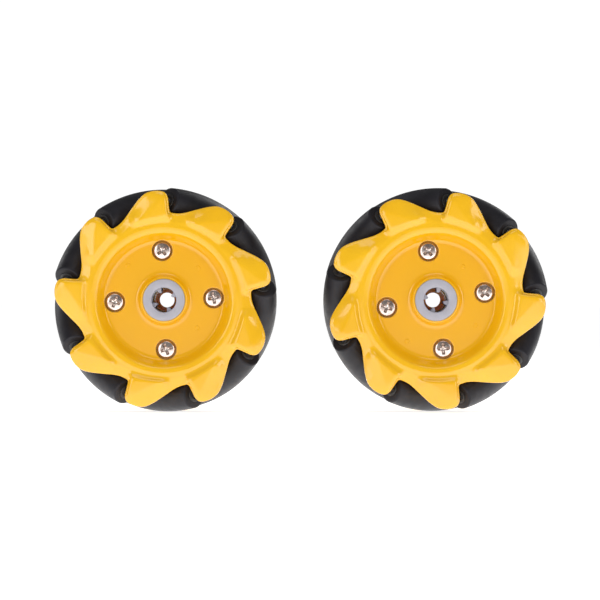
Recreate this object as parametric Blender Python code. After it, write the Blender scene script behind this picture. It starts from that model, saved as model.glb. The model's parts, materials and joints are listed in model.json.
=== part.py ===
"""A matched pair of mecanum wheels, one left-handed and one right-handed.

Each wheel is two moulded plates screwed together around a shaft coupler. The plates carry nine
barrel rollers, and every roller turns on its own steel axle at 45 degrees to the wheel's axle.

World frame, in metres: the wheels stand upright side by side, their axles lie along Y, the screw
heads face -Y, and the origin is midway between the two wheels at axle height.

A wheel is built in its own frame: Z is the axle, +Z points out of the screw side, Z = 0 is the
plane where the two plates meet, and angles run counter-clockwise seen from the screw side.
The shapes are those of the left wheel; the right wheel is their mirror image, turned.
"""
import math

import bmesh
import bpy
from mathutils import Matrix, Vector

# Driving dimensions of one wheel
WHEEL_RADIUS = 0.030
WHEEL_HALF_WIDTH = 0.015
WHEEL_SPACING = 0.0725
ROLLER_COUNT = 9
ROLLER_TILT = math.radians(45)
ROLLER_PITCH_RADIUS = 0.0245
ROLLER_HALF_LENGTH = 0.014
ROLLER_CENTRE_ANGLE = math.radians(26)
RIGHT_WHEEL_TURN = math.radians(11)
RUNNING_GAP = 0.0005
SEAT_GAP = 0.0003

# Roller axles
AXLE_RADIUS = 0.0010
AXLE_HALF_LENGTH = 0.018
ROLLER_BORE_RADIUS = 0.00135
AXLE_HOLE_RADIUS = 0.0014

# Plates, heights measured outwards from the plane where they meet
MEETING_HEIGHT = SEAT_GAP / 2
RING_HEIGHT = 0.0139
EDGE_HEIGHT = 0.0135
EDGE_CHAMFER = 0.0004
DOME_RISE = WHEEL_HALF_WIDTH - RING_HEIGHT
EDGE_DOME_RISE = 0.0007
UNDERSIDE_HEIGHT = 0.0086
VALLEY_RADIUS = 0.0233
TIP_RADIUS = 0.0292
RING_RADIUS = 0.0204
DOME_SHARE = 0.55
PAN_RIM_RADIUS = 0.0183
PAN_FLOOR_RADIUS = 0.0157
PAN_FLOOR_HEIGHT = 0.0108
DRUM_RADIUS = 0.0178
CAVITY_OUTER_RADIUS = 0.0156
CAVITY_INNER_RADIUS = 0.0082
CAVITY_HEIGHT = 0.0086
COLLAR_FOOT_RADIUS = 0.0083
COLLAR_RADIUS = 0.0066
COLLAR_HEIGHT = 0.0125
TUNNEL_RADIUS = 0.0030
END_WALL_HEIGHT = 0.0110
END_HOLE_RADIUS = 0.0020

# One lobe of the plate's edge: angle in degrees, reach from valley to tip, share of the dome's rise
LOBE_PROFILE = (
    (3.0, 0.00, 0.00),
    (6.0, 0.04, 0.20),
    (7.0, 0.32, 0.80),
    (7.9, 0.71, 1.00),
    (10.0, 0.93, 1.00),
    (14.5, 1.00, 1.00),
    (19.5, 0.94, 0.95),
    (24.0, 0.73, 0.60),
    (30.0, 0.39, 0.20),
    (36.0, 0.12, 0.00),
    (40.0, 0.02, 0.00),
)

# Shaft coupler
COUPLER_RADIUS = 0.0056
COUPLER_BOTTOM = MEETING_HEIGHT
COUPLER_TOP = 0.0129
SOCKET_RADIUS = COUPLER_RADIUS + SEAT_GAP
BORE_SLOT_RADIUS = 0.0033
BORE_TOOTH_RADIUS = 0.00215
BORE_TOOTH_COUNT = 4
BORE_TOOTH_ANGLE = math.radians(26)

# One tooth of the coupler's bore and the slot after it: share of the pitch and radius
BORE_PROFILE = (
    (0.00, BORE_TOOTH_RADIUS),
    (0.13, BORE_TOOTH_RADIUS),
    (0.20, BORE_SLOT_RADIUS),
    (0.40, BORE_SLOT_RADIUS),
    (0.60, BORE_SLOT_RADIUS),
    (0.80, BORE_SLOT_RADIUS),
    (0.87, BORE_TOOTH_RADIUS),
)

# Screws
SCREW_COUNT = 4
SCREW_ANGLE = math.radians(2.3)
SCREW_PITCH_RADIUS = 0.0132
HEAD_RADIUS = 0.0023
HEAD_CROWN_RADIUS = 0.0020
HEAD_TOP = 0.0106
HEAD_BOTTOM = 0.0092
HEAD_EDGE_HEIGHT = 0.0101
SHANK_RADIUS = 0.00115
SHANK_END = -0.0070
RECESS_ARMS = 4
RECESS_REACH = 0.0013
RECESS_HALF_WIDTH = 0.00035
RECESS_DEPTH = 0.0009
COUNTERBORE_RADIUS = 0.00275
SCREW_HOLE_RADIUS = 0.0016
POST_RADIUS = 0.0036
POST_RECESS = 0.0002

# Facets around each kind of round
LARGE_STEPS = 30
SMALL_STEPS = 15
ROLLER_STEPS = 12
POST_STEPS = 10
AXLE_STEPS = 8
ROLLER_STATIONS = (0.0, 0.36, 0.71, 1.0)

# Fineness of the search for a roller's radius
RADIUS_SAMPLES = 180
RADIUS_HALVINGS = 30

# Edges sharper than these stay crisp when shaded, in degrees
PLATE_SHARP_ANGLE = 35
SCREW_SHARP_ANGLE = 30
ROLLER_SHARP_ANGLE = 50


def even_angles(steps):
    """Angles that divide a full turn evenly."""
    return [math.tau * step / steps for step in range(steps)]


def ring(angles, radius, height):
    """A closed ring of (angle, radius, height) points at one radius and height."""
    return [(angle, radius, height) for angle in angles]


def stitch(mesh, first, second):
    """Join two rings of vertices: point to point, or by filling the flat gap where counts differ."""
    if len(first) == len(second):
        for index in range(len(first)):
            following = (index + 1) % len(first)
            mesh.faces.new((first[index], first[following], second[following], second[index]))
        return
    edges = []
    for loop in (first, second):
        for pair in zip(loop, loop[1:] + loop[:1]):
            edges.append(mesh.edges.get(pair) or mesh.edges.new(pair))
    bmesh.ops.triangle_fill(mesh, use_beauty=False, edges=edges, normal=(0, 0, 1))


def loft(rings, hollow):
    """A closed mesh through rings; hollow joins the last ring to the first, or both get a cap."""
    mesh = bmesh.new()
    loops = []
    for points in rings:
        loop = []
        for angle, radius, height in points:
            place = (radius * math.cos(angle), radius * math.sin(angle), height)
            loop.append(mesh.verts.new(place))
        loops.append(loop)
    for first, second in zip(loops, loops[1:]):
        stitch(mesh, first, second)
    if hollow:
        stitch(mesh, loops[-1], loops[0])
    else:
        mesh.faces.new(loops[0])
        mesh.faces.new(loops[-1])
    bmesh.ops.recalc_face_normals(mesh, faces=mesh.faces)
    return mesh


def join(meshes):
    """Several closed meshes gathered into one, each still its own body."""
    joined = bmesh.new()
    for mesh in meshes:
        part = bpy.data.meshes.new("part")
        mesh.to_mesh(part)
        mesh.free()
        joined.from_mesh(part)
        bpy.data.meshes.remove(part)
    return joined


def transformed(mesh, matrix):
    """The same mesh moved by the matrix, its faces still pointing out if the matrix mirrors it."""
    bmesh.ops.transform(mesh, matrix=matrix, verts=mesh.verts)
    if matrix.determinant() < 0:
        bmesh.ops.reverse_faces(mesh, faces=mesh.faces)
    return mesh


def as_object(name, mesh):
    """A new object in the scene that holds the mesh."""
    data = bpy.data.meshes.new(name)
    mesh.to_mesh(data)
    mesh.free()
    made = bpy.data.objects.new(name, data)
    bpy.context.collection.objects.link(made)
    return made


def combined(mesh, changes):
    """The mesh after Boolean changes, each an operation and the mesh of the other body."""
    base = as_object("base", mesh)
    helpers = []
    for operation, other in changes:
        helper = as_object("helper", other)
        helpers.append(helper)
        modifier = base.modifiers.new(operation, "BOOLEAN")
        modifier.operation = operation
        modifier.object = helper
        modifier.solver = "EXACT"
    bpy.context.view_layer.update()
    evaluated = base.evaluated_get(bpy.context.evaluated_depsgraph_get())
    result = bmesh.new()
    result.from_mesh(evaluated.to_mesh())
    evaluated.to_mesh_clear()
    for used in [base] + helpers:
        bpy.data.objects.remove(used)
    return result


def roller_radius(station):
    """Largest roller radius at a station along its axis that stays inside the wheel's cylinder."""

    def reach(radius):
        """Farthest distance from the wheel's axle on a circle of this radius at the station."""
        along = station * math.sin(ROLLER_TILT)
        return max(
            math.hypot(
                ROLLER_PITCH_RADIUS + radius * math.cos(turn),
                along + radius * math.sin(turn) * math.cos(ROLLER_TILT),
            )
            for turn in even_angles(RADIUS_SAMPLES)
        )

    low = 0.0
    high = WHEEL_RADIUS - ROLLER_PITCH_RADIUS
    for _ in range(RADIUS_HALVINGS):
        middle = (low + high) / 2
        if reach(middle) > WHEEL_RADIUS:
            high = middle
        else:
            low = middle
    return low


def roller_centre_angle(index):
    """Angle of a roller's centre around the wheel."""
    return ROLLER_CENTRE_ANGLE + math.tau * index / ROLLER_COUNT


def roller_frame(index):
    """Place of a roller in its wheel, with Z along the roller from its screw-side end inwards."""
    angle = roller_centre_angle(index)
    outwards = Vector((math.cos(angle), math.sin(angle), 0))
    clockwise = Vector((math.sin(angle), -math.cos(angle), 0))
    inwards = Vector((0, 0, -1))
    axis = clockwise * math.sin(ROLLER_TILT) + inwards * math.cos(ROLLER_TILT)
    turn = Matrix((outwards, axis.cross(outwards), axis)).transposed()
    return Matrix.Translation(outwards * ROLLER_PITCH_RADIUS) @ turn.to_4x4()


def screw_angle(index):
    """Angle of a screw around the wheel."""
    return SCREW_ANGLE + math.tau * index / SCREW_COUNT


def screw_frame(index):
    """Place of a screw's axis in its wheel."""
    angle = screw_angle(index)
    place = Vector((math.cos(angle), math.sin(angle), 0)) * SCREW_PITCH_RADIUS
    return Matrix.Translation(place) @ Matrix.Rotation(angle, 4, "Z")


def rear_flip():
    """Half turn about the line through a roller's centre, which carries the front plate to the rear."""
    line = (math.cos(ROLLER_CENTRE_ANGLE), math.sin(ROLLER_CENTRE_ANGLE), 0)
    return Matrix.Rotation(math.pi, 4, line)


def cylinder(steps, radius, bottom, top):
    """A plain round bar along Z."""
    angles = even_angles(steps)
    return loft([ring(angles, radius, bottom), ring(angles, radius, top)], hollow=False)


def lobe_ring(share, inset, height, dome_rise):
    """A ring between the plate's raised ring and its lobed edge, set in from it and domed."""
    points = []
    for lobe in range(ROLLER_COUNT):
        for degrees, reach, dome in LOBE_PROFILE:
            angle = math.radians(degrees) + math.tau * lobe / ROLLER_COUNT
            edge = VALLEY_RADIUS + reach * (TIP_RADIUS - VALLEY_RADIUS) - inset
            radius = RING_RADIUS + share * (edge - RING_RADIUS)
            points.append((angle, radius, height + dome * dome_rise))
    return points


def plate_body(opening_rings):
    """A plate without its pockets, from its collar outwards, under the lobes and back to the hub."""
    large = even_angles(LARGE_STEPS)
    small = even_angles(SMALL_STEPS)
    rings = [
        ring(small, COLLAR_RADIUS, COLLAR_HEIGHT),
        ring(small, COLLAR_FOOT_RADIUS, PAN_FLOOR_HEIGHT),
        ring(large, PAN_FLOOR_RADIUS, PAN_FLOOR_HEIGHT),
        ring(large, PAN_RIM_RADIUS, RING_HEIGHT),
        ring(large, RING_RADIUS, RING_HEIGHT),
        lobe_ring(DOME_SHARE, 0, RING_HEIGHT, DOME_RISE),
        lobe_ring(1, EDGE_CHAMFER, EDGE_HEIGHT, EDGE_DOME_RISE),
        lobe_ring(1, 0, EDGE_HEIGHT - EDGE_CHAMFER, EDGE_DOME_RISE),
        lobe_ring(1, 0, UNDERSIDE_HEIGHT, 0),
        ring(large, DRUM_RADIUS, UNDERSIDE_HEIGHT),
        ring(large, DRUM_RADIUS, MEETING_HEIGHT),
        ring(large, CAVITY_OUTER_RADIUS, MEETING_HEIGHT),
        ring(large, CAVITY_OUTER_RADIUS, CAVITY_HEIGHT),
        ring(small, CAVITY_INNER_RADIUS, CAVITY_HEIGHT),
        ring(small, CAVITY_INNER_RADIUS, MEETING_HEIGHT),
    ]
    return loft(rings + opening_rings, hollow=True)


def screw_posts():
    """The four posts that stand in a plate's cavity and meet the posts of the other plate."""
    posts = []
    for index in range(SCREW_COUNT):
        post = cylinder(
            POST_STEPS, POST_RADIUS, MEETING_HEIGHT + POST_RECESS, CAVITY_HEIGHT + RUNNING_GAP
        )
        posts.append(transformed(post, screw_frame(index)))
    return join(posts)


def screw_holes(bottom, top, radius):
    """Cutters along the four screws."""
    holes = []
    for index in range(SCREW_COUNT):
        holes.append(transformed(cylinder(POST_STEPS, radius, bottom, top), screw_frame(index)))
    return join(holes)


def roller_pockets():
    """Cutters that clear the screw-side end of every roller."""
    angles = even_angles(ROLLER_STEPS)
    pockets = []
    for index in range(ROLLER_COUNT):
        rings = []
        for share in ROLLER_STATIONS[1:]:
            station = share * ROLLER_HALF_LENGTH
            end_gap = RUNNING_GAP if share == ROLLER_STATIONS[-1] else 0
            radius = roller_radius(station) + RUNNING_GAP
            rings.append(ring(angles, radius, -station - end_gap))
        pockets.append(transformed(loft(rings, hollow=False), roller_frame(index)))
    return join(pockets)


def axle_holes():
    """Cutters for the blind holes that hold the screw-side ends of the roller axles."""
    holes = []
    for index in range(ROLLER_COUNT):
        hole = cylinder(
            AXLE_STEPS, AXLE_HOLE_RADIUS, -AXLE_HALF_LENGTH - SEAT_GAP, -ROLLER_HALF_LENGTH
        )
        holes.append(transformed(hole, roller_frame(index)))
    return join(holes)


def front_plate():
    """The plate on the screw side, with the coupler's socket through it and the screws' counterbores."""
    small = even_angles(SMALL_STEPS)
    body = plate_body([
        ring(small, SOCKET_RADIUS, MEETING_HEIGHT),
        ring(small, SOCKET_RADIUS, COLLAR_HEIGHT),
    ])
    return combined(body, [
        ("UNION", screw_posts()),
        ("DIFFERENCE", roller_pockets()),
        ("DIFFERENCE", axle_holes()),
        ("DIFFERENCE", screw_holes(-SEAT_GAP, HEAD_BOTTOM, SCREW_HOLE_RADIUS)),
        ("DIFFERENCE", screw_holes(HEAD_BOTTOM - SEAT_GAP, RING_HEIGHT, COUNTERBORE_RADIUS)),
    ])


def rear_plate():
    """The far plate, with blind screw holes and a thin end wall across the shaft tunnel."""
    small = even_angles(SMALL_STEPS)
    body = plate_body([
        ring(small, TUNNEL_RADIUS, MEETING_HEIGHT),
        ring(small, TUNNEL_RADIUS, END_WALL_HEIGHT),
        ring(small, END_HOLE_RADIUS, END_WALL_HEIGHT),
        ring(small, END_HOLE_RADIUS, COLLAR_HEIGHT),
    ])
    shaped = combined(body, [
        ("DIFFERENCE", roller_pockets()),
        ("DIFFERENCE", axle_holes()),
    ])
    turned = transformed(shaped, rear_flip())
    posts = transformed(screw_posts(), Matrix.Rotation(math.pi, 4, "X"))
    return combined(turned, [
        ("UNION", posts),
        ("DIFFERENCE", screw_holes(SHANK_END - SEAT_GAP, SEAT_GAP, SCREW_HOLE_RADIUS)),
    ])


def roller():
    """A barrel roller bored for its axle, Z along it."""
    angles = even_angles(ROLLER_STEPS)
    shares = [-share for share in reversed(ROLLER_STATIONS[1:])] + list(ROLLER_STATIONS)
    rings = []
    for share in shares:
        station = share * ROLLER_HALF_LENGTH
        rings.append(ring(angles, roller_radius(station), station))
    rings.append(ring(angles, ROLLER_BORE_RADIUS, ROLLER_HALF_LENGTH))
    rings.append(ring(angles, ROLLER_BORE_RADIUS, -ROLLER_HALF_LENGTH))
    return loft(rings, hollow=True)


def shaft_coupler():
    """The tube through the front plate, with four teeth standing into its bore."""
    bore = []
    for tooth in range(BORE_TOOTH_COUNT):
        for share, radius in BORE_PROFILE:
            bore.append((math.tau * (tooth + share) / BORE_TOOTH_COUNT, radius))
    angles = [angle for angle, _ in bore]
    rings = [
        [(angle, radius, COUPLER_TOP) for angle, radius in bore],
        ring(angles, COUPLER_RADIUS, COUPLER_TOP),
        ring(angles, COUPLER_RADIUS, COUPLER_BOTTOM),
        [(angle, radius, COUPLER_BOTTOM) for angle, radius in bore],
    ]
    return transformed(loft(rings, hollow=True), Matrix.Rotation(BORE_TOOTH_ANGLE, 4, "Z"))


def screw():
    """A pan-head screw with a cross recess, Z along it."""
    arm_turn = math.atan2(RECESS_HALF_WIDTH, RECESS_REACH)
    cross = []
    for arm in range(RECESS_ARMS):
        centre = math.tau * arm / RECESS_ARMS
        cross.append((centre - arm_turn, math.hypot(RECESS_REACH, RECESS_HALF_WIDTH)))
        cross.append((centre + arm_turn, math.hypot(RECESS_REACH, RECESS_HALF_WIDTH)))
        cross.append((centre + math.pi / RECESS_ARMS, RECESS_HALF_WIDTH * math.sqrt(2)))
    angles = [angle for angle, _ in cross]
    rings = [
        [(angle, radius, HEAD_TOP - RECESS_DEPTH) for angle, radius in cross],
        [(angle, radius, HEAD_TOP) for angle, radius in cross],
        ring(angles, HEAD_CROWN_RADIUS, HEAD_TOP),
        ring(angles, HEAD_RADIUS, HEAD_EDGE_HEIGHT),
        ring(angles, HEAD_RADIUS, HEAD_BOTTOM),
        ring(angles, SHANK_RADIUS, HEAD_BOTTOM),
        ring(angles, SHANK_RADIUS, SHANK_END),
    ]
    return loft(rings, hollow=False)


def make_material(name, color, roughness, metallic):
    """A Principled material."""
    material = bpy.data.materials.new(name)
    material.use_nodes = True
    shader = material.node_tree.nodes["Principled BSDF"]
    shader.inputs["Base Color"].default_value = (*color, 1)
    shader.inputs["Roughness"].default_value = roughness
    shader.inputs["Metallic"].default_value = metallic
    return material


def place(name, data, material, parent, frame):
    """One sub-part: an object that shows the mesh in its material, at its frame in the wheel."""
    made = bpy.data.objects.new(name, data)
    bpy.context.collection.objects.link(made)
    made.data.materials.clear()
    made.data.materials.append(material)
    made.parent = parent
    made.matrix_local = frame
    return made


def finished(name, mesh, sharp_angle):
    """Mesh data shaded smooth, with edges sharper than the angle left crisp."""
    data = bpy.data.meshes.new(name)
    mesh.to_mesh(data)
    mesh.free()
    data.shade_smooth()
    data.set_sharp_from_angle(angle=math.radians(sharp_angle))
    return data


def make_wheel(side, centre_x, turn, mirror, materials):
    """One whole wheel of named sub-parts under an empty on its axle."""
    axle = bpy.data.objects.new(side + "_wheel", None)
    bpy.context.collection.objects.link(axle)
    upright = Matrix.Rotation(math.pi / 2, 4, "X")
    axle.matrix_world = Matrix.Translation((centre_x, 0, 0)) @ upright @ Matrix.Rotation(turn, 4, "Z")
    whole = Matrix.Identity(4)

    hub_parts = (
        ("front_plate", front_plate, "wheel_plastic"),
        ("rear_plate", rear_plate, "wheel_plastic"),
        ("shaft_coupler", shaft_coupler, "coupler_plastic"),
    )
    for name, shape, material in hub_parts:
        data = finished(side + "_" + name, transformed(shape(), mirror), PLATE_SHARP_ANGLE)
        place(data.name, data, materials[material], axle, whole)

    screw_data = finished("screw", screw(), SCREW_SHARP_ANGLE)
    for index in range(SCREW_COUNT):
        frame = mirror @ screw_frame(index) @ mirror
        name = "{}_screw_{}".format(side, index + 1)
        place(name, screw_data, materials["screw_steel"], axle, frame)

    roller_data = finished("roller", roller(), ROLLER_SHARP_ANGLE)
    pin = cylinder(AXLE_STEPS, AXLE_RADIUS, -AXLE_HALF_LENGTH, AXLE_HALF_LENGTH)
    axle_data = finished("axle", pin, ROLLER_SHARP_ANGLE)
    for index in range(ROLLER_COUNT):
        frame = mirror @ roller_frame(index) @ mirror
        name = "{}_roller_{}".format(side, index + 1)
        place(name, roller_data, materials["roller_rubber"], axle, frame)
        name = "{}_roller_axle_{}".format(side, index + 1)
        place(name, axle_data, materials["axle_steel"], axle, frame)


def main():
    """The empty scene filled with both wheels."""
    for old in list(bpy.data.objects):
        bpy.data.objects.remove(old)
    materials = {
        "wheel_plastic": make_material("wheel_plastic", (0.90, 0.50, 0.02), 0.25, 0.0),
        "coupler_plastic": make_material("coupler_plastic", (0.46, 0.48, 0.60), 0.45, 0.0),
        "roller_rubber": make_material("roller_rubber", (0.02, 0.02, 0.025), 0.55, 0.0),
        "axle_steel": make_material("axle_steel", (0.60, 0.60, 0.62), 0.30, 1.0),
        "screw_steel": make_material("screw_steel", (0.75, 0.70, 0.68), 0.25, 1.0),
    }
    mirror = Matrix.Diagonal((1, -1, 1, 1))
    half_spacing = WHEEL_SPACING / 2
    make_wheel("left", -half_spacing, 0, Matrix.Identity(4), materials)
    make_wheel("right", half_spacing, RIGHT_WHEEL_TURN, mirror, materials)


main()
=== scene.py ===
import json
import math
from collections import namedtuple

import bmesh
import bpy
import numpy as np
from mathutils import Matrix, Vector


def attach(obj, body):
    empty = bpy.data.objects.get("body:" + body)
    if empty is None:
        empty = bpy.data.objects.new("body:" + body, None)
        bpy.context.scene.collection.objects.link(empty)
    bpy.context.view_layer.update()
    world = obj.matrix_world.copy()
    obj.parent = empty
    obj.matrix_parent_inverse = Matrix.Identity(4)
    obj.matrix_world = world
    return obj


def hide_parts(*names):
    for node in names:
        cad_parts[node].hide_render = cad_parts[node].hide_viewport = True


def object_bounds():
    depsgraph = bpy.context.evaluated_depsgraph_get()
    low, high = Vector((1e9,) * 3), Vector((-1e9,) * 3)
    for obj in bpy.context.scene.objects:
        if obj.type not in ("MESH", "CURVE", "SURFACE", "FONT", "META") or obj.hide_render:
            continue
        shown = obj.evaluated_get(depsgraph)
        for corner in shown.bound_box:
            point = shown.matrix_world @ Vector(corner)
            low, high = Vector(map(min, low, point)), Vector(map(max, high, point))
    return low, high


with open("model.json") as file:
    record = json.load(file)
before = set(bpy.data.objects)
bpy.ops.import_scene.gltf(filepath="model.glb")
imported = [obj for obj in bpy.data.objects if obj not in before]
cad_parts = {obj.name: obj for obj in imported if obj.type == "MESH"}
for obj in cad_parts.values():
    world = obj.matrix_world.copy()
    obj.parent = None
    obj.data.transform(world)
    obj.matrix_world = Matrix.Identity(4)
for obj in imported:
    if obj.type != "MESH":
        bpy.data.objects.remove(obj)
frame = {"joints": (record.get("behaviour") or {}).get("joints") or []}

# A matched pair of mecanum wheels. Each wheel is built in its own frame, as the CAD does it:
# Z is the axle, +Z points out of the screw side, Z = 0 is where the two plates meet, and angles
# run counter-clockwise seen from the screw side. The left wheel's shapes are mirrored for the
# right wheel. The rollers' pivots in the record say where everything sits. Sizes are in metres.

CAD_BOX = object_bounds()
SIDES = ("left", "right")
JOINTS = {joint["child"]: joint for joint in frame["joints"]}

# Wheel and rollers
ROLLER_COUNT = 9
ROLLER_TILT = math.radians(45)
ROLLER_CENTRE_ANGLE = math.radians(26)
WHEEL_RADIUS = 0.030
ROLLER_PITCH_RADIUS = 0.0245
ROLLER_HALF_LENGTH = 0.014
RUNNING_GAP = 0.0005
SEAT_GAP = 0.0003
AXLE_RADIUS = 0.0010
AXLE_HALF_LENGTH = 0.018
AXLE_CHAMFER = 0.00025
AXLE_HOLE_RADIUS = 0.0014
CORE_RADIUS = 0.0021
CORE_BORE_RADIUS = 0.00115
CORE_STAND_OFF = 0.0002
CORE_EDGE = 0.0002
CORE_FIT_GAP = 0.00005
TREAD_EDGE = 0.0006
PARTING_WIDTH = math.radians(3)
PARTING_RISE = 0.00006

# Plates, heights measured outwards from the plane where they meet
MEETING_HEIGHT = 0.00015
UNDERSIDE_HEIGHT = 0.0086
RING_HEIGHT = 0.0139
RING_RADIUS = 0.0204
RING_CROWN = 0.0001
PAN_RIM_RADIUS = 0.0184
PAN_FLOOR_RADIUS = 0.0156
PAN_FLOOR_HEIGHT = 0.0108
PAN_FLOOR_MARGIN = 0.0006
PAN_WALL_CURVE = 0.75
DRUM_RADIUS = 0.0178
VALLEY_RADIUS = 0.0233
TIP_RADIUS = 0.0292
EDGE_FILLET = 0.0004
EDGE_HEIGHT = 0.0132
EDGE_LIFT = 0.0009
SHOULDER_HEIGHT = 0.0135
SHOULDER_LIFT = 0.0009
SHOULDER_BAND = 0.0028
DOME_HEIGHT = 0.0149
COLLAR_FOOT_RADIUS = 0.0071
COLLAR_FOOT_FILLET = 0.0013
COLLAR_FOOT_WIDTH = 0.0010
COLLAR_RADIUS = 0.0062
COLLAR_HEIGHT = 0.0125
COLLAR_FILLET = 0.0003
SOCKET_RADIUS = 0.00564
TUNNEL_RADIUS = 0.0030
END_WALL_HEIGHT = 0.0110
END_HOLE_RADIUS = 0.0020

# How nearly upright the shoulder stands at a plate's edge: 1 would be a full quarter circle
SHOULDER_ROUNDNESS = 0.999

# One lobe of a plate's edge: angle in degrees, reach from valley to tip, lift of its edge
LOBE_PROFILE = (
    (3.0, 0.00, 0.00),
    (6.0, 0.04, 0.20),
    (7.0, 0.32, 0.80),
    (7.9, 0.71, 1.00),
    (10.0, 0.93, 1.00),
    (14.5, 1.00, 1.00),
    (19.5, 0.94, 0.95),
    (24.0, 0.73, 0.60),
    (30.0, 0.39, 0.20),
    (36.0, 0.12, 0.00),
    (40.0, 0.02, 0.00),
)
# Corners of the flat top of a lobe's dome, angle in degrees and radius, and its flanks' width
DOME_CORNERS = ((10.5, 0.0267), (26.5, 0.0218), (10.0, 0.0228))
DOME_INNER_FLANK = 0.0030
DOME_OUTER_FLANK = 0.0038
DOME_FOOT_BAND = 0.0016

# Screws
SCREW_COUNT = 4
SCREW_ANGLE = math.radians(2.3)
SCREW_PITCH_RADIUS = 0.0132
SCREW_TURNS = {"left": (12, 38, 71, 20), "right": (50, 8, 33, 63)}
HEAD_RADIUS = 0.0023
HEAD_TOP = 0.0106
HEAD_BOTTOM = 0.0092
HEAD_CROWN = 0.00045
HEAD_CROWN_POWER = 2.6
HEAD_CROWN_START = 0.15
HEAD_CROWN_END = 0.9999
HEAD_EDGE = 0.00015
SHANK_RADIUS = 0.00115
SHANK_END = -0.0070
SHANK_TIP_RADIUS = 0.0004
SHANK_PLAIN_LENGTH = 0.001
THREAD_PITCH = 0.0009
THREAD_DEPTH = 0.0003
COUNTERBORE_RADIUS = 0.00275
COUNTERBORE_LIP = 0.00025
SCREW_HOLE_RADIUS = 0.0015

# Cross recess of a screw, and its rings from the bottom up: shares of reach, width and depth
RECESS_REACH = 0.00160
RECESS_HALF_WIDTH = 0.00042
RECESS_DEPTH = 0.0013
RECESS_STAGES = ((0.30, 0.50, 1.0), (0.72, 0.80, 0.6), (1.00, 1.00, 0.0))
RECESS_FLARE = 1.1

# Shaft coupler
COUPLER_RADIUS = 0.0056
COUPLER_BOTTOM = 0.0002
COUPLER_TOP = 0.0129
COUPLER_CHAMFER = 0.00025
BORE_SLOT_RADIUS = 0.0033
BORE_TOOTH_RADIUS = 0.00215
BORE_TOOTH_ANGLE = math.radians(26)
BORE_TOOTH_DEPTH = 0.0020
TOOTH_HALF_WIDTH = math.radians(6)
TOOTH_FLANK = math.radians(9)

# Where the middle point of a rounded chamfer lies, as a share of the chamfer
CHAMFER_MIDDLE = 0.3

# Plain round marks of the mould's ejector pins on the pan floor: angle in degrees and radius
MARK_PLACES = ((43.6, 0.0125), (136.0, 0.0134), (320.0, 0.0115))
MARK_RADIUS = 0.0006
MARK_TOP_RADIUS = 0.00048
MARK_HEIGHT = 0.00012

# Cutters start at this share of a roller's half length and run this far past a surface
POCKET_START = 0.3
POCKET_CHAMFER = 0.0001
OVERSHOOT = 0.001

# The smallest radius of a turned body's flat end
POINT_RADIUS = 0.0001

# Fineness of the meshes
LOBE_STEPS = 56
LOBE_ROWS = 26
ROUND_STEPS = LOBE_STEPS * ROLLER_COUNT
SPLINE_STEPS = 24
FILLET_STEPS = 5
SIDE_SHARES = (0.35, 0.7, 1.0)
UNDERSIDE_SHARES = (0.33, 0.67)
PAN_FLOOR_ROWS = 9
PAN_WALL_ROWS = 13
RING_SHARES = (0.2, 0.4, 0.6, 0.8, 1.0)
POCKET_STATIONS = 9
POCKET_STEPS = 40
AXLE_HOLE_STEPS = 20
SCREW_HOLE_STEPS = 48
MARK_STEPS = 32
TREAD_STATIONS = 37
TREAD_STEPS = 96
CORE_STEPS = 40
AXLE_STEPS = 32
COUPLER_STEPS = 144
RECESS_STEPS = 96
SCREW_STEPS = 64
HEAD_CROWN_ROWS = 12
RADIUS_SAMPLES = 181
RADIUS_HALVINGS = 30
SHARP_ANGLE = math.radians(38)

# Floors that keep a division finite
SMALLEST_DISTANCE = 1e-9
SMALLEST_SINE = 1e-6

# Name of the point attribute that says how deep in the pan a point lies; the pan's painted shade
# follows it
PAN_DEPTH = "pan_depth"

# The stretch of a noise's range that colours and roughness are spread over
RAMP_START = 0.35
RAMP_END = 0.65
NOISE_LOW = 0.3
NOISE_HIGH = 0.7

# Camera
CAMERA_DISTANCE = 0.97
FRAME_WIDTH = 0.1619
SENSOR_WIDTH = 36

# The floor's own even light, and the painted reflection: how much brighter the wheels' gloss sees the
# floor near them
FLOOR_HALF_SIZE = 20
FLOOR_GAP = 0.0001
FLOOR_GLOW = 0.78
FLOOR_PAINTED_REFLECTION = 1.1
FLOOR_GLOW_INNER = 0.12
FLOOR_GLOW_OUTER = 0.40

# Surroundings as they light the wheels, and as the camera sees them
SURROUNDINGS_STRENGTH = 0.25
BACKDROP_STRENGTH = 1.05

# Softboxes: name, place, width, height and power in watts
SOFTBOXES = (
    ("left_softbox", (-0.50, -0.62, 0.15), 0.38, 0.36, 1.32),
    ("right_softbox", (0.62, -0.50, 0.14), 0.30, 0.32, 1.00),
    ("top_softbox", (0, -0.35, 0.70), 0.50, 0.35, 1.0),
    ("rear_right_softbox", (0.45, 0.75, 0.40), 0.35, 0.35, 1.7),
    ("rear_left_softbox", (-0.60, 0.60, 0.30), 0.30, 0.35, 1.0),
)

Surface = namedtuple("Surface", "material nodes links shader coordinates")


# ---------------------------------------------------------------- places

def wheel_frame(side):
    """Matrix from a wheel's own frame to the row frame; it mirrors on the right wheel."""
    pivots = []
    for index in range(ROLLER_COUNT):
        joint = JOINTS["{}_roller_{}".format(side, index + 1)]
        pivots.append(Vector(joint["pos_m"]))
    centre = sum(pivots, Vector()) / ROLLER_COUNT
    roller_axis = Vector(JOINTS[side + "_roller_1"]["axis"])
    outwards = Vector((0, -1, 0))
    to_roller = (pivots[0] - centre).normalized()
    across = outwards.cross(to_roller)
    if roller_axis.dot(across) > 0:
        across = -across
    x_axis = to_roller * math.cos(ROLLER_CENTRE_ANGLE) - across * math.sin(ROLLER_CENTRE_ANGLE)
    y_axis = to_roller * math.sin(ROLLER_CENTRE_ANGLE) + across * math.cos(ROLLER_CENTRE_ANGLE)
    turn = Matrix((x_axis, y_axis, outwards)).transposed().to_4x4()
    return Matrix.Translation(centre) @ turn


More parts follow.
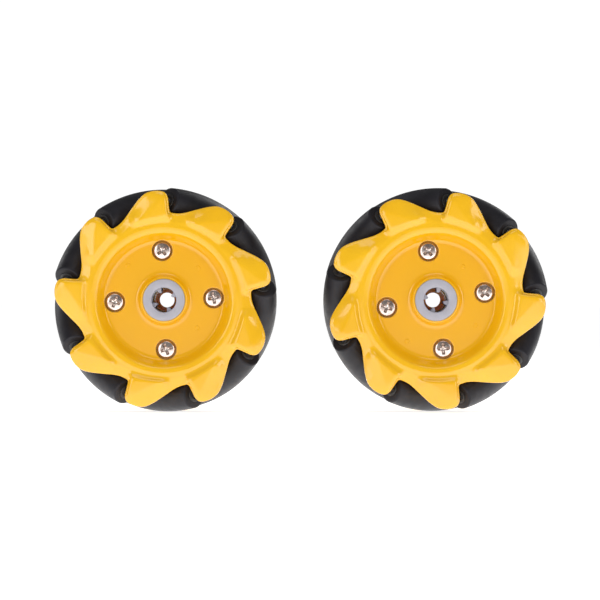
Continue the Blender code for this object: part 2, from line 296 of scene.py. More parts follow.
def roller_frame(index):
    """Place of a roller in its wheel, with Z along the roller from its screw-side end inwards."""
    angle = ROLLER_CENTRE_ANGLE + math.tau * index / ROLLER_COUNT
    outwards = Vector((math.cos(angle), math.sin(angle), 0))
    clockwise = Vector((math.sin(angle), -math.cos(angle), 0))
    inwards = Vector((0, 0, -1))
    axis = clockwise * math.sin(ROLLER_TILT) + inwards * math.cos(ROLLER_TILT)
    turn = Matrix((outwards, axis.cross(outwards), axis)).transposed()
    return Matrix.Translation(outwards * ROLLER_PITCH_RADIUS) @ turn.to_4x4()


def screw_frame(index):
    """Place of a screw's axis in its wheel."""
    angle = SCREW_ANGLE + math.tau * index / SCREW_COUNT
    place = Vector((math.cos(angle), math.sin(angle), 0)) * SCREW_PITCH_RADIUS
    return Matrix.Translation(place)


def rear_flip():
    """Half turn about the line through a roller's centre, which carries a front plate to the rear."""
    line = (math.cos(ROLLER_CENTRE_ANGLE), math.sin(ROLLER_CENTRE_ANGLE), 0)
    return Matrix.Rotation(math.pi, 4, line)


# ---------------------------------------------------------------- mesh helpers

def even_angles(steps):
    """Angles that divide a full turn evenly."""
    return np.arange(steps) * math.tau / steps


def angle_from_arm(steps):
    """Angle from each of a ring's points to the nearest of four arms, the first along +X."""
    quarter_turns = even_angles(steps) / (math.pi / 2)
    return np.abs((quarter_turns + 0.5) % 1 - 0.5) * math.pi / 2


def ring_points(radius, height, steps):
    """Points of a ring about Z; the radius is one number, or one for each point."""
    angles = even_angles(steps)
    return np.stack([radius * np.cos(angles), radius * np.sin(angles), np.full(steps, height)], 1)


def mesh_from_rings(rings, hollow):
    """A closed bmesh through rings of equal count; hollow joins the last ring to the first."""
    mesh = bmesh.new()
    loops = [[mesh.verts.new(point) for point in points] for points in rings]
    pairs = list(zip(loops, loops[1:]))
    if hollow:
        pairs.append((loops[-1], loops[0]))
    for first, second in pairs:
        for index in range(len(first)):
            following = (index + 1) % len(first)
            mesh.faces.new((first[index], first[following], second[following], second[index]))
    if not hollow:
        mesh.faces.new(loops[0])
        mesh.faces.new(loops[-1])
    bmesh.ops.recalc_face_normals(mesh, faces=mesh.faces)
    return mesh


def turned(profile, steps, hollow=False):
    """A body turned about Z from (radius, height) points."""
    rings = [ring_points(radius, height, steps) for radius, height in profile]
    return mesh_from_rings(rings, hollow)


def rounded_corner(centre, radius, start, end, steps=FILLET_STEPS):
    """Points of an arc in the (radius, height) plane, angles in degrees."""
    points = []
    for step in range(steps + 1):
        angle = math.radians(start + (end - start) * step / steps)
        points.append((centre[0] + radius * math.cos(angle), centre[1] + radius * math.sin(angle)))
    return points


def transformed(mesh, matrix):
    """The same bmesh moved by the matrix, its faces still pointing out if the matrix mirrors it."""
    bmesh.ops.transform(mesh, matrix=matrix, verts=mesh.verts)
    if matrix.determinant() < 0:
        bmesh.ops.reverse_faces(mesh, faces=mesh.faces)
    return mesh


def join(meshes):
    """Several bmeshes gathered into one, each still its own body."""
    joined = bmesh.new()
    for mesh in meshes:
        part = bpy.data.meshes.new("part")
        mesh.to_mesh(part)
        mesh.free()
        joined.from_mesh(part)
        bpy.data.meshes.remove(part)
    return joined


def as_data(name, mesh):
    """Mesh data made from a bmesh, which is freed."""
    data = bpy.data.meshes.new(name)
    mesh.to_mesh(data)
    mesh.free()
    return data


def cut(mesh, cutters):
    """The bmesh after cutting each cutter out of it."""
    scene = bpy.context.scene
    base = bpy.data.objects.new("base", as_data("base", mesh))
    scene.collection.objects.link(base)
    helpers = []
    for cutter in cutters:
        helper = bpy.data.objects.new("cutter", as_data("cutter", cutter))
        scene.collection.objects.link(helper)
        helpers.append(helper)
        modifier = base.modifiers.new("cut", "BOOLEAN")
        modifier.operation = "DIFFERENCE"
        modifier.object = helper
        modifier.solver = "EXACT"
    bpy.context.view_layer.update()
    evaluated = base.evaluated_get(bpy.context.evaluated_depsgraph_get())
    result = bmesh.new()
    result.from_mesh(evaluated.to_mesh())
    evaluated.to_mesh_clear()
    for used in [base] + helpers:
        bpy.data.objects.remove(used)
    return result


def mark_pan(data):
    """Store how deep each point lies in the pan: 0 on the ring and outside it, 1 on the floor. The
    pan's painted shade follows it.
    """
    depths = []
    for vert in data.vertices:
        across = math.hypot(vert.co.x, vert.co.y)
        depth = (RING_HEIGHT - abs(vert.co.z)) / (RING_HEIGHT - PAN_FLOOR_HEIGHT)
        depths.append(math.sqrt(min(max(depth, 0.0), 1.0)) if across < PAN_RIM_RADIUS else 0.0)
    data.attributes.new(PAN_DEPTH, "FLOAT", "POINT").data.foreach_set("value", depths)
    return data


def add_piece(name, data, material, matrix, body, node=None):
    """A visible piece: the mesh copied to its place in the row frame, riding on its body."""
    mesh = bmesh.new()
    mesh.from_mesh(data)
    transformed(mesh, matrix)
    own = as_data(name, mesh)
    own.shade_smooth()
    own.set_sharp_from_angle(angle=SHARP_ANGLE)
    own.materials.append(material)
    piece = bpy.data.objects.new(name, own)
    bpy.context.scene.collection.objects.link(piece)
    weighted = piece.modifiers.new("normals", "WEIGHTED_NORMAL")
    weighted.keep_sharp = True
    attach(piece, body)
    if node:
        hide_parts(node)
    return piece


# ---------------------------------------------------------------- shapes

def roller_radius(station, gap=0.0):
    """Largest roller radius at a station along its axis that stays inside the wheel's cylinder."""
    turns = np.linspace(-math.pi / 2, math.pi / 2, RADIUS_SAMPLES)
    along = station * math.sin(ROLLER_TILT)
    low = 0.0
    high = WHEEL_RADIUS - ROLLER_PITCH_RADIUS
    for _ in range(RADIUS_HALVINGS):
        middle = (low + high) / 2
        reach = np.hypot(
            ROLLER_PITCH_RADIUS + middle * np.cos(turns),
            along + middle * np.sin(turns) * math.cos(ROLLER_TILT),
        ).max()
        if reach > WHEEL_RADIUS:
            high = middle
        else:
            low = middle
    return low + gap


def lobe_knots():
    """The lobe's (x, y, lift) points on four lobes in a row, starting one lobe before the first."""
    knots = []
    for lobe in (-1, 0, 1, 2):
        for degrees, reach, lift in LOBE_PROFILE:
            angle = math.radians(degrees) + math.tau * lobe / ROLLER_COUNT
            radius = VALLEY_RADIUS + reach * (TIP_RADIUS - VALLEY_RADIUS)
            knots.append((radius * math.cos(angle), radius * math.sin(angle), lift))
    return np.array(knots)


def first_lobe():
    """Points of a smooth curve through the first lobe's knots, evenly spaced along it."""
    knots = lobe_knots()
    count = len(LOBE_PROFILE)
    fine = []
    for knot in range(count, 2 * count):
        before, start, end, after = knots[knot - 1:knot + 3]
        for share in np.linspace(0, 1, SPLINE_STEPS, endpoint=False):
            fine.append(0.5 * (
                2 * start
                + (end - before) * share
                + (2 * before - 5 * start + 4 * end - after) * share ** 2
                + (3 * start - before - 3 * end + after) * share ** 3
            ))
    fine.append(knots[2 * count])
    fine = np.array(fine)
    steps = np.hypot(*np.diff(fine[:, :2], axis=0).T)
    along = np.concatenate([[0], np.cumsum(steps)])
    wanted = np.linspace(0, along[-1], LOBE_STEPS, endpoint=False)
    return np.stack([np.interp(wanted, along, fine[:, column]) for column in range(3)], 1)


def lobe_outline():
    """Points, inward normals and edge lift along the plate's whole lobed edge."""
    lobe = first_lobe()
    whole = []
    for index in range(ROLLER_COUNT):
        turn = math.tau * index / ROLLER_COUNT
        x = lobe[:, 0] * math.cos(turn) - lobe[:, 1] * math.sin(turn)
        y = lobe[:, 0] * math.sin(turn) + lobe[:, 1] * math.cos(turn)
        whole.append(np.stack([x, y, lobe[:, 2]], 1))
    whole = np.concatenate(whole)
    edge = whole[:, :2]
    run = np.roll(edge, -1, axis=0) - np.roll(edge, 1, axis=0)
    normals = np.stack([-run[:, 1], run[:, 0]], 1) / np.hypot(run[:, 0], run[:, 1])[:, None]
    return edge, normals, whole[:, 2]


def smooth_step(value):
    """0 below 0, 1 above 1, and a soft S between."""
    value = np.clip(value, 0, 1)
    return value * value * (3 - 2 * value)


def one_dome(points, corners):
    """How far each (x, y) point is up the dome whose flat top has these three corners."""
    ridge = corners[1] - corners[0]
    outer_side = np.array([ridge[1], -ridge[0]]) / np.hypot(*ridge)
    away = np.full(len(points), np.inf)
    beside = np.zeros((len(points), 2))
    inside = np.full(len(points), True)
    for start, end in zip(corners, corners[1:] + corners[:1]):
        line = end - start
        offset = points - start
        share = np.clip((offset @ line) / (line @ line), 0, 1)
        gap = offset - share[:, None] * line
        distance = np.hypot(*gap.T)
        closer = distance < away
        away[closer] = distance[closer]
        beside[closer] = gap[closer] / np.maximum(distance[closer], SMALLEST_DISTANCE)[:, None]
        inside &= line[0] * offset[:, 1] - line[1] * offset[:, 0] > 0
    outwards = (0.5 + 0.5 * beside @ outer_side) ** 2
    flank = DOME_INNER_FLANK + (DOME_OUTER_FLANK - DOME_INNER_FLANK) * outwards
    up = np.clip(1 - away / flank, 0, 1)
    up[inside] = 1
    return smooth_step(up)


def dome_rise(points):
    """How far each (x, y) point is up a lobe's dome, from 0 beside it to 1 on its flat top."""
    best = np.zeros(len(points))
    for lobe in range(ROLLER_COUNT):
        corners = []
        for degrees, radius in DOME_CORNERS:
            angle = math.radians(degrees) + math.tau * lobe / ROLLER_COUNT
            corners.append(np.array([radius * math.cos(angle), radius * math.sin(angle)]))
        best = np.maximum(best, one_dome(points, corners))
    beyond_ring = np.hypot(*points.T) - RING_RADIUS
    return best * smooth_step(beyond_ring / DOME_FOOT_BAND)


def plate_rings(centre_profile, inner_profile):
    """Rings of a plate from its centre outwards over the lobed face, then back underneath."""
    edge, normals, lift = lobe_outline()
    start = math.radians(LOBE_PROFILE[0][0])
    angles = start + np.arange(ROUND_STEPS) * math.tau / ROUND_STEPS
    circle = np.stack([np.cos(angles), np.sin(angles)], 1)

    def level_ring(points, height):
        return np.column_stack([points, np.broadcast_to(height, len(points))])

    rings = [level_ring(circle * radius, height) for radius, height in centre_profile]

    inner = circle * RING_RADIUS
    outer = edge + normals * EDGE_FILLET
    edge_height = EDGE_HEIGHT + lift * EDGE_LIFT
    shoulder = SHOULDER_HEIGHT + lift * SHOULDER_LIFT
    for row in range(1, LOBE_ROWS + 1):
        share = row / LOBE_ROWS
        points = inner + (outer - inner) * share
        base = RING_HEIGHT + (shoulder - RING_HEIGHT) * smooth_step(share)
        level = base + (DOME_HEIGHT - base) * dome_rise(points)
        from_edge = np.hypot(*(outer - points).T)
        near = 1 - np.clip(from_edge / SHOULDER_BAND, 0, 1)
        drop = 1 - np.sqrt(1 - near ** 2 * SHOULDER_ROUNDNESS)
        rings.append(level_ring(points, level + (edge_height - level) * drop))

    for step in range(1, FILLET_STEPS + 1):
        turn = math.pi / 2 * step / FILLET_STEPS
        points = edge + normals * EDGE_FILLET * (1 - math.sin(turn))
        rings.append(level_ring(points, edge_height - EDGE_FILLET * (1 - math.cos(turn))))
    side_top = edge_height - EDGE_FILLET
    for share in SIDE_SHARES:
        rings.append(level_ring(edge, side_top + (UNDERSIDE_HEIGHT - side_top) * share))
    for share in UNDERSIDE_SHARES:
        points = edge + (circle * DRUM_RADIUS - edge) * share
        rings.append(level_ring(points, UNDERSIDE_HEIGHT))
    rings += [level_ring(circle * radius, height) for radius, height in inner_profile]
    return rings


def collar_pan_and_ring():
    """The (radius, height) profile from a collar's flat top over the pan to the raised ring."""
    top_corner = (COLLAR_RADIUS - COLLAR_FILLET, COLLAR_HEIGHT - COLLAR_FILLET)
    foot_corner = (COLLAR_FOOT_RADIUS + PAN_FLOOR_MARGIN, PAN_FLOOR_HEIGHT + COLLAR_FOOT_FILLET)
    points = rounded_corner(top_corner, COLLAR_FILLET, start=90, end=30)
    points += rounded_corner(foot_corner, COLLAR_FOOT_FILLET, start=205, end=270, steps=8)
    floor_start = COLLAR_FOOT_RADIUS + COLLAR_FOOT_WIDTH
    floor_end = PAN_FLOOR_RADIUS - PAN_FLOOR_MARGIN
    for radius in np.linspace(floor_start, floor_end, PAN_FLOOR_ROWS):
        points.append((radius, PAN_FLOOR_HEIGHT))
    for share in np.linspace(0, 1, PAN_WALL_ROWS):
        radius = PAN_FLOOR_RADIUS + (PAN_RIM_RADIUS - PAN_FLOOR_RADIUS) * share
        rise = float(smooth_step(share)) * PAN_WALL_CURVE + share * (1 - PAN_WALL_CURVE)
        points.append((radius, PAN_FLOOR_HEIGHT + (RING_HEIGHT - PAN_FLOOR_HEIGHT) * rise))
    for share in RING_SHARES:
        radius = PAN_RIM_RADIUS + (RING_RADIUS - PAN_RIM_RADIUS) * share
        points.append((radius, RING_HEIGHT + RING_CROWN * math.sin(math.pi * share) ** 2))
    return points


def roller_pockets():
    """Cutters that clear the screw-side end of every roller."""
    start = POCKET_START * ROLLER_HALF_LENGTH
    stations = np.linspace(start, ROLLER_HALF_LENGTH, POCKET_STATIONS)
    pockets = []
    for index in range(ROLLER_COUNT):
        profile = [(roller_radius(station, RUNNING_GAP), -station) for station in stations]
        profile.append((profile[-1][0] - POCKET_CHAMFER, -ROLLER_HALF_LENGTH - RUNNING_GAP))
        pockets.append(transformed(turned(profile, POCKET_STEPS), roller_frame(index)))
    return join(pockets)


def axle_holes():
    """Cutters for the blind holes that hold the screw-side ends of the roller axles."""
    profile = [
        (AXLE_HOLE_RADIUS, -AXLE_HALF_LENGTH - SEAT_GAP),
        (AXLE_HOLE_RADIUS, -ROLLER_HALF_LENGTH),
    ]
    holes = []
    for index in range(ROLLER_COUNT):
        holes.append(transformed(turned(profile, AXLE_HOLE_STEPS), roller_frame(index)))
    return join(holes)


def screw_holes(profile):
    """Cutters along the four screws, turned from a (radius, height) profile."""
    holes = []
    for index in range(SCREW_COUNT):
        holes.append(transformed(turned(profile, SCREW_HOLE_STEPS), screw_frame(index)))
    return join(holes)


def ejector_marks():
    """Low round pads on the pan floor."""
    pads = []
    for degrees, radius in MARK_PLACES:
        angle = math.radians(degrees)
        pad = turned([
            (POINT_RADIUS, PAN_FLOOR_HEIGHT + MARK_HEIGHT),
            (MARK_TOP_RADIUS, PAN_FLOOR_HEIGHT + MARK_HEIGHT),
            (MARK_RADIUS, PAN_FLOOR_HEIGHT),
            (MARK_RADIUS, PAN_FLOOR_HEIGHT - MARK_HEIGHT),
        ], MARK_STEPS)
        place = Matrix.Translation((radius * math.cos(angle), radius * math.sin(angle), 0))
        pads.append(transformed(pad, place))
    return join(pads)


def counterbore_profile():
    """The (radius, height) profile of a screw head's recess, with a rounded lip."""
    lip_radius = COUNTERBORE_RADIUS + COUNTERBORE_LIP
    profile = [(COUNTERBORE_RADIUS, HEAD_BOTTOM - SEAT_GAP)]
    lip_centre = (lip_radius, PAN_FLOOR_HEIGHT - COUNTERBORE_LIP)
    profile += rounded_corner(lip_centre, COUNTERBORE_LIP, start=180, end=95)
    profile.append((lip_radius, PAN_FLOOR_HEIGHT + OVERSHOOT))
    return profile


def front_plate():
    """The screw-side plate, with the coupler's socket and the counterbores of the screws."""
    centre = [(SOCKET_RADIUS, COLLAR_HEIGHT)] + collar_pan_and_ring()
    inner = [
        (DRUM_RADIUS, UNDERSIDE_HEIGHT),
        (DRUM_RADIUS, MEETING_HEIGHT),
        (SOCKET_RADIUS, MEETING_HEIGHT),
    ]
    body = mesh_from_rings(plate_rings(centre, inner), hollow=True)
    hole = [(SCREW_HOLE_RADIUS, -OVERSHOOT), (SCREW_HOLE_RADIUS, HEAD_BOTTOM)]
    cutters = [roller_pockets(), axle_holes(), screw_holes(counterbore_profile()), screw_holes(hole)]
    return join([cut(body, cutters), ejector_marks()])


def rear_plate():
    """The far plate, with blind screw holes and a thin end wall across the shaft tunnel."""
    centre = [(END_HOLE_RADIUS, COLLAR_HEIGHT)] + collar_pan_and_ring()
    inner = [
        (DRUM_RADIUS, UNDERSIDE_HEIGHT),
        (DRUM_RADIUS, MEETING_HEIGHT),
        (TUNNEL_RADIUS, MEETING_HEIGHT),
        (TUNNEL_RADIUS, END_WALL_HEIGHT),
        (END_HOLE_RADIUS, END_WALL_HEIGHT),
    ]
    body = mesh_from_rings(plate_rings(centre, inner), hollow=True)
    shaped = cut(body, [roller_pockets(), axle_holes()])
    hole = [(SCREW_HOLE_RADIUS, SHANK_END - SEAT_GAP), (SCREW_HOLE_RADIUS, OVERSHOOT)]
    return cut(transformed(shaped, rear_flip()), [screw_holes(hole)])


def tread():
    """The barrel-shaped rubber tread of a roller, with two fine parting lines, bored for its core."""
    rim_station = ROLLER_HALF_LENGTH - TREAD_EDGE
    stations = np.linspace(-rim_station, rim_station, TREAD_STATIONS)
    barrel = [(roller_radius(station), station) for station in stations]
    edge_centre = barrel[-1][0] - TREAD_EDGE
    top = rounded_corner((edge_centre, rim_station), TREAD_EDGE, start=0, end=90)[1:]
    bottom = rounded_corner((edge_centre, -rim_station), TREAD_EDGE, start=-90, end=0)[:-1]
    bore_radius = CORE_RADIUS + CORE_FIT_GAP
    bore = [(bore_radius, ROLLER_HALF_LENGTH), (bore_radius, -ROLLER_HALF_LENGTH)]
    mesh = turned(bottom + barrel + top + bore, TREAD_STEPS, hollow=True)
    for vert in mesh.verts:
        across = math.hypot(vert.co.x, vert.co.y)
        beside = abs(abs(math.atan2(vert.co.y, vert.co.x)) - math.pi / 2)
        if across > CORE_RADIUS + TREAD_EDGE and beside < PARTING_WIDTH / 2:
            vert.co.x *= 1 + PARTING_RISE / across
            vert.co.y *= 1 + PARTING_RISE / across
    return mesh


def core():
    """The hard sleeve inside a tread, which stands a little proud at both ends."""
    end = ROLLER_HALF_LENGTH + CORE_STAND_OFF
    edge_centre = CORE_RADIUS - CORE_EDGE
    top = rounded_corner((edge_centre, end - CORE_EDGE), CORE_EDGE, start=0, end=90, steps=3)
    bottom = rounded_corner((edge_centre, -end + CORE_EDGE), CORE_EDGE, start=-90, end=0, steps=3)
    bore = [(CORE_BORE_RADIUS, end), (CORE_BORE_RADIUS, -end)]
    return turned(top + bore + bottom, CORE_STEPS, hollow=True)


def axle():
    """A steel pin with chamfered ends."""
    end = AXLE_HALF_LENGTH
    return turned([
        (AXLE_RADIUS - AXLE_CHAMFER, -end),
        (AXLE_RADIUS, -end + AXLE_CHAMFER),
        (AXLE_RADIUS, end - AXLE_CHAMFER),
        (AXLE_RADIUS - AXLE_CHAMFER, end),
    ], AXLE_STEPS)


def coupler():
    """The toothed tube in the collar, its four teeth ending below its outer face."""
    shoulder = smooth_step((angle_from_arm(COUPLER_STEPS) - TOOTH_HALF_WIDTH) / TOOTH_FLANK)
    bore = BORE_TOOTH_RADIUS + (BORE_SLOT_RADIUS - BORE_TOOTH_RADIUS) * shoulder
    chamfer = COUPLER_CHAMFER
    middle = COUPLER_CHAMFER * CHAMFER_MIDDLE
    profile = [
        (bore, COUPLER_BOTTOM),
        (bore, COUPLER_TOP - BORE_TOOTH_DEPTH - chamfer),
        (BORE_SLOT_RADIUS, COUPLER_TOP - BORE_TOOTH_DEPTH),
        (BORE_SLOT_RADIUS, COUPLER_TOP - chamfer),
        (BORE_SLOT_RADIUS + middle, COUPLER_TOP - middle),
        (BORE_SLOT_RADIUS + chamfer, COUPLER_TOP),
        (COUPLER_RADIUS - chamfer, COUPLER_TOP),
        (COUPLER_RADIUS - middle, COUPLER_TOP - middle),
        (COUPLER_RADIUS, COUPLER_TOP - chamfer),
        (COUPLER_RADIUS, COUPLER_BOTTOM),
    ]
    tube = turned(profile, COUPLER_STEPS, hollow=True)
    return transformed(tube, Matrix.Rotation(BORE_TOOTH_ANGLE, 4, "Z"))


def cross_recess():
    """Cutter of a tapered cross with a pointed middle, for a screw's head."""
    nearest = angle_from_arm(RECESS_STEPS)

    def cross_radius(reach, half_width):
        along = reach / np.cos(nearest)
        beside = half_width / np.maximum(np.sin(nearest), SMALLEST_SINE)
        return np.minimum(along, np.maximum(beside, half_width * math.sqrt(2)))

    profile = []
    for reach, width, depth in RECESS_STAGES:
        radius = cross_radius(RECESS_REACH * reach, RECESS_HALF_WIDTH * width)
        profile.append((radius, HEAD_TOP - RECESS_DEPTH * depth))
    flared = cross_radius(RECESS_REACH * RECESS_FLARE, RECESS_HALF_WIDTH * RECESS_FLARE)
    profile.append((flared, HEAD_TOP + OVERSHOOT / 2))
    return turned(profile, RECESS_STEPS)


def screw():
    """A pan-head screw with a cross recess and a threaded shank, Z along it."""
    crown = HEAD_TOP - HEAD_CROWN
    profile = [(POINT_RADIUS, HEAD_TOP)]
    for share in np.linspace(HEAD_CROWN_START, 1, HEAD_CROWN_ROWS):
        fall = min(share, HEAD_CROWN_END) ** HEAD_CROWN_POWER
        height = crown + HEAD_CROWN * math.sqrt(1 - fall)
        profile.append((HEAD_RADIUS * share, height))
    profile.append((HEAD_RADIUS, HEAD_BOTTOM + HEAD_EDGE))
    profile.append((HEAD_RADIUS - HEAD_EDGE, HEAD_BOTTOM))
    profile.append((SHANK_RADIUS, HEAD_BOTTOM))
    height = HEAD_BOTTOM - SHANK_PLAIN_LENGTH
    while height > SHANK_END + SHANK_PLAIN_LENGTH:
        profile.append((SHANK_RADIUS, height))
        profile.append((SHANK_RADIUS - THREAD_DEPTH, height - THREAD_PITCH / 2))
        height -= THREAD_PITCH
    profile.append((SHANK_TIP_RADIUS, SHANK_END))
    return cut(turned(profile, SCREW_STEPS), [cross_recess()])


# ---------------------------------------------------------------- materials

def new_surface(name, color, roughness, metallic=0.0):
    """A Principled material, its nodes, links and shader, and its object coordinates."""
    material = bpy.data.materials.new(name)
    material.use_nodes = True
    nodes = material.node_tree.nodes
    shader = nodes["Principled BSDF"]
    shader.inputs["Base Color"].default_value = (*color, 1)
    shader.inputs["Roughness"].default_value = roughness
    shader.inputs["Metallic"].default_value = metallic
    coordinates = nodes.new("ShaderNodeTexCoord").outputs["Object"]
    return Surface(material, nodes, material.node_tree.links, shader, coordinates)


def noise(surface, scale, detail):
    """A noise texture's factor output."""
    texture = surface.nodes.new("ShaderNodeTexNoise")
    texture.inputs["Scale"].default_value = scale
    texture.inputs["Detail"].default_value = detail
    surface.links.new(surface.coordinates, texture.inputs["Vector"])
    return texture.outputs["Fac"]


def vary_color(surface, factor, dark, light):
    """Base colour between two colours by a factor; returns the colour's socket."""
    ramp = surface.nodes.new("ShaderNodeValToRGB")
    ramp.color_ramp.elements[0].position = RAMP_START
    ramp.color_ramp.elements[0].color = (*dark, 1)
    ramp.color_ramp.elements[1].position = RAMP_END
    ramp.color_ramp.elements[1].color = (*light, 1)
    surface.links.new(factor, ramp.inputs["Fac"])
    surface.links.new(ramp.outputs["Color"], surface.shader.inputs["Base Color"])
    return ramp.outputs["Color"]


def vary_roughness(surface, factor, low, high):
    """Roughness between two values by a factor."""
    spread = surface.nodes.new("ShaderNodeMapRange")
    spread.inputs["From Min"].default_value = NOISE_LOW
    spread.inputs["From Max"].default_value = NOISE_HIGH
    spread.inputs["To Min"].default_value = low
    spread.inputs["To Max"].default_value = high
    surface.links.new(factor, spread.inputs["Value"])
    surface.links.new(spread.outputs["Result"], surface.shader.inputs["Roughness"])


def add_bump(surface, factor, strength, distance):
    """Fine surface relief from a factor."""
    bump = surface.nodes.new("ShaderNodeBump")
    bump.inputs["Strength"].default_value = strength
    bump.inputs["Distance"].default_value = distance
    surface.links.new(factor, bump.inputs["Height"])
    surface.links.new(bump.outputs["Normal"], surface.shader.inputs["Normal"])


def paint_pan_shade(surface, shallow, deep):
    """Painted shade: base colour that turns from the shallow colour's socket to a darker, deeper
    amber towards the pan's floor, where the recess lies in shade.
    """
    depth = surface.nodes.new("ShaderNodeAttribute")
    depth.attribute_name = PAN_DEPTH
    mix = surface.nodes.new("ShaderNodeMix")
    mix.data_type = "RGBA"
    mix.inputs["B"].default_value = (*deep, 1)
    surface.links.new(depth.outputs["Fac"], mix.inputs["Factor"])
    surface.links.new(shallow, mix.inputs["A"])
    surface.links.new(mix.outputs["Result"], surface.shader.inputs["Base Color"])


def wheel_plastic():
    """Glossy moulded yellow plastic with faint flow marks, and painted shade in the pan, a darker
    amber.
    """
    surface = new_surface("wheel_plastic", (0.90, 0.48, 0.004), 0.24)
    flow = noise(surface, scale=55, detail=3)
    yellow = vary_color(surface, flow, dark=(0.90, 0.480, 0.005), light=(0.93, 0.520, 0.008))
    # Painted shade: the pan's recess is coloured a darker amber than the rest of the plate
    paint_pan_shade(surface, yellow, deep=(0.86, 0.435, 0.001))
    vary_roughness(surface, noise(surface, scale=180, detail=4), low=0.16, high=0.24)
    add_bump(surface, noise(surface, scale=500, detail=2), strength=0.04, distance=0.00006)
    surface.shader.inputs["Specular IOR Level"].default_value = 0.15
    surface.shader.inputs["Coat Weight"].default_value = 0.70
    surface.shader.inputs["Coat Roughness"].default_value = 0.14
    surface.shader.inputs["Coat IOR"].default_value = 1.6
    return surface.material


def coupler_plastic():
    """Satin pale blue-grey plastic."""
    surface = new_surface("coupler_plastic", (0.44, 0.44, 0.50), 0.42)
    mottle = noise(surface, scale=400, detail=3)
    vary_color(surface, mottle, dark=(0.405, 0.40, 0.455), light=(0.445, 0.44, 0.505))
    vary_roughness(surface, noise(surface, scale=900, detail=3), low=0.36, high=0.48)
    add_bump(surface, noise(surface, scale=3000, detail=2), strength=0.12, distance=0.00003)
    return surface.material


def roller_rubber():
    """Near-black moulded rubber with a satin gloss and fine dust; its faintly blue base colour is a
    painted sheen.
    """
    # Painted sheen: the base colour is faintly blue all over; the dust noise only varies its tone
    surface = new_surface("roller_rubber", (0.011, 0.010, 0.014), 0.40)
    dust = noise(surface, scale=260, detail=5)
    vary_color(surface, dust, dark=(0.008, 0.0075, 0.011), light=(0.015, 0.014, 0.019))
    vary_roughness(surface, noise(surface, scale=500, detail=4), low=0.44, high=0.56)
    add_bump(surface, noise(surface, scale=2600, detail=3), strength=0.15, distance=0.00004)
    surface.shader.inputs["Specular IOR Level"].default_value = 0.25
    return surface.material


def core_plastic():
    """Matt black nylon of the rollers' cores."""
    surface = new_surface("core_plastic", (0.012, 0.012, 0.014), 0.5)
    vary_roughness(surface, noise(surface, scale=900, detail=3), low=0.4, high=0.6)
    mottle = noise(surface, scale=600, detail=3)
    vary_color(surface, mottle, dark=(0.009, 0.009, 0.011), light=(0.016, 0.016, 0.018))
    return surface.material


def bright_steel(name, dark, light, low, high):
    """Plated or ground steel with fine scratches."""
    surface = new_surface(name, light, low, metallic=1.0)
    vary_color(surface, noise(surface, scale=900, detail=4), dark, light)
    vary_roughness(surface, noise(surface, scale=2200, detail=4), low, high)
    add_bump(surface, noise(surface, scale=4000, detail=3), strength=0.10, distance=0.00002)
    return surface.material


# ---------------------------------------------------------------- wheels

def build_shapes():
    """The mesh of each kind of piece, in its own frame."""
    return {
        "front_plate": mark_pan(as_data("front_plate_shape", front_plate())),
        "rear_plate": mark_pan(as_data("rear_plate_shape", rear_plate())),
        "coupler": as_data("coupler_shape", coupler()),
        "tread": as_data("tread_shape", tread()),
        "core": as_data("core_shape", core()),
        "axle": as_data("axle_shape", axle()),
        "screw": as_data("screw_shape", screw()),
    }


def build_materials():
    """The material of each kind of piece."""
    plastic = wheel_plastic()
    return {
        "front_plate": plastic,
        "rear_plate": plastic,
        "coupler": coupler_plastic(),
        "tread": roller_rubber(),
        "core": core_plastic(),
        "screw": bright_steel("screw_steel", (0.47, 0.38, 0.34), (0.70, 0.61, 0.56), 0.16, 0.28),
        "axle": bright_steel("axle_steel", (0.50, 0.50, 0.51), (0.62, 0.62, 0.63), 0.25, 0.38),
    }


def build_wheel(side, shapes, materials):
    """Every visible piece of one wheel."""
    place = wheel_frame(side)
    hub = side + "_wheel_hub"

    def add(kind, name, matrix, body, node=None):
        add_piece(name, shapes[kind], materials[kind], matrix, body, node)

    for part in ("front_plate", "rear_plate"):
        node = "{}_{}".format(side, part)
        add(part, node + "_shell", place, hub, node)
    add("coupler", side + "_coupler_tube", place, hub, side + "_shaft_coupler")
    for index in range(SCREW_COUNT):
        node = "{}_screw_{}".format(side, index + 1)
        turn = Matrix.Rotation(math.radians(SCREW_TURNS[side][index]), 4, "Z")
        matrix = place @ screw_frame(index) @ turn
        add("screw", node + "_pan_head", matrix, hub, node)
    for index in range(ROLLER_COUNT):
        matrix = place @ roller_frame(index)
        roller = "{}_roller_{}".format(side, index + 1)
        pin = "{}_roller_axle_{}".format(side, index + 1)
        add("tread", roller + "_tread", matrix, roller, roller)
        add("core", roller + "_core", matrix, roller)
        add("axle", pin + "_pin", matrix, hub, pin)


def build_wheels():
    """Both wheels, from the same shapes and materials."""
    shapes = build_shapes()
    materials = build_materials()
    for side in SIDES:
        build_wheel(side, shapes, materials)
    for data in shapes.values():
        bpy.data.meshes.remove(data)


# ---------------------------------------------------------------- stage

def build_camera():
    """A long lens at axle height, square to the wheels' screw sides."""
    data = bpy.data.cameras.new("camera")
    data.sensor_width = SENSOR_WIDTH
    data.lens = SENSOR_WIDTH * CAMERA_DISTANCE / FRAME_WIDTH
    data.clip_start = 0.01
    data.clip_end = 50
    camera = bpy.data.objects.new("camera", data)
    camera.location = (0, -CAMERA_DISTANCE, 0)
    camera.rotation_euler = (math.pi / 2, 0, 0)
    bpy.context.scene.collection.objects.link(camera)
    bpy.context.scene.camera = camera


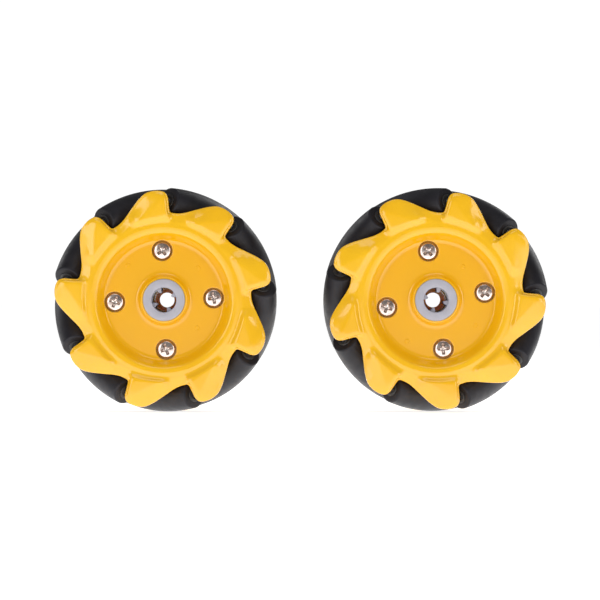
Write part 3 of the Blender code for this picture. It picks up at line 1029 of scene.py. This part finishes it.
def paint_floor_reflection(surface):
    """Painted reflection: near the wheels the floor shines brighter only for glossy rays, so the
    wheels' gloss reflects a bright pool that lights nothing.
    """
    distance = surface.nodes.new("ShaderNodeVectorMath")
    distance.operation = "LENGTH"
    surface.links.new(surface.coordinates, distance.inputs[0])
    reflection_pool = surface.nodes.new("ShaderNodeMapRange")
    reflection_pool.interpolation_type = "SMOOTHSTEP"
    reflection_pool.inputs["From Min"].default_value = FLOOR_GLOW_INNER
    reflection_pool.inputs["From Max"].default_value = FLOOR_GLOW_OUTER
    reflection_pool.inputs["To Min"].default_value = FLOOR_PAINTED_REFLECTION
    reflection_pool.inputs["To Max"].default_value = 0.0
    surface.links.new(distance.outputs["Value"], reflection_pool.inputs["Value"])
    # Only glossy rays see the extra glow: a painted reflection
    path = surface.nodes.new("ShaderNodeLightPath")
    strength = surface.nodes.new("ShaderNodeMath")
    strength.operation = "MULTIPLY_ADD"
    surface.links.new(path.outputs["Is Glossy Ray"], strength.inputs[0])
    surface.links.new(reflection_pool.outputs["Result"], strength.inputs[1])
    strength.inputs[2].default_value = FLOOR_GLOW
    surface.links.new(strength.outputs["Value"], surface.shader.inputs["Emission Strength"])


def build_floor():
    """A wide white floor under the rollers."""
    mesh = bmesh.new()
    bmesh.ops.create_grid(mesh, x_segments=1, y_segments=1, size=FLOOR_HALF_SIZE)
    data = as_data("floor", mesh)
    surface = new_surface("floor_paper", (0.93, 0.93, 0.93), 0.8)
    mottle = noise(surface, scale=3, detail=2)
    vary_color(surface, mottle, dark=(0.925, 0.925, 0.925), light=(0.94, 0.94, 0.94))
    surface.shader.inputs["Emission Color"].default_value = (1, 1, 1, 1)
    # Painted reflection of a brighter floor near the wheels
    paint_floor_reflection(surface)
    data.materials.append(surface.material)
    floor = bpy.data.objects.new("floor", data)
    floor.location = (0, 0, CAD_BOX[0].z - FLOOR_GAP)
    bpy.context.scene.collection.objects.link(floor)


def add_softbox(name, location, width, height, power):
    """An area light aimed at the middle of the pair of wheels."""
    data = bpy.data.lights.new(name, "AREA")
    data.shape = "RECTANGLE"
    data.size = width
    data.size_y = height
    data.energy = power
    light = bpy.data.objects.new(name, data)
    light.location = location
    light.rotation_euler = (-Vector(location)).to_track_quat("-Z", "Y").to_euler()
    bpy.context.scene.collection.objects.link(light)


def build_surroundings():
    """White surroundings: dim as they light the wheels, bright as the camera sees them."""
    world = bpy.data.worlds.new("studio")
    bpy.context.scene.world = world
    world.use_nodes = True
    nodes = world.node_tree.nodes
    links = world.node_tree.links
    surroundings = nodes["Background"]
    surroundings.inputs["Color"].default_value = (1, 1, 1, 1)
    surroundings.inputs["Strength"].default_value = SURROUNDINGS_STRENGTH
    backdrop = nodes.new("ShaderNodeBackground")
    backdrop.inputs["Color"].default_value = (1, 1, 1, 1)
    backdrop.inputs["Strength"].default_value = BACKDROP_STRENGTH
    mix = nodes.new("ShaderNodeMixShader")
    path = nodes.new("ShaderNodeLightPath")
    links.new(path.outputs["Is Camera Ray"], mix.inputs["Fac"])
    links.new(surroundings.outputs["Background"], mix.inputs[1])
    links.new(backdrop.outputs["Background"], mix.inputs[2])
    links.new(mix.outputs["Shader"], nodes["World Output"].inputs["Surface"])


def build_light():
    """White surroundings and large softboxes."""
    build_surroundings()
    for softbox in SOFTBOXES:
        add_softbox(*softbox)
    bpy.context.scene.view_settings.view_transform = "Standard"


build_camera()
build_wheels()
build_floor()
build_light()
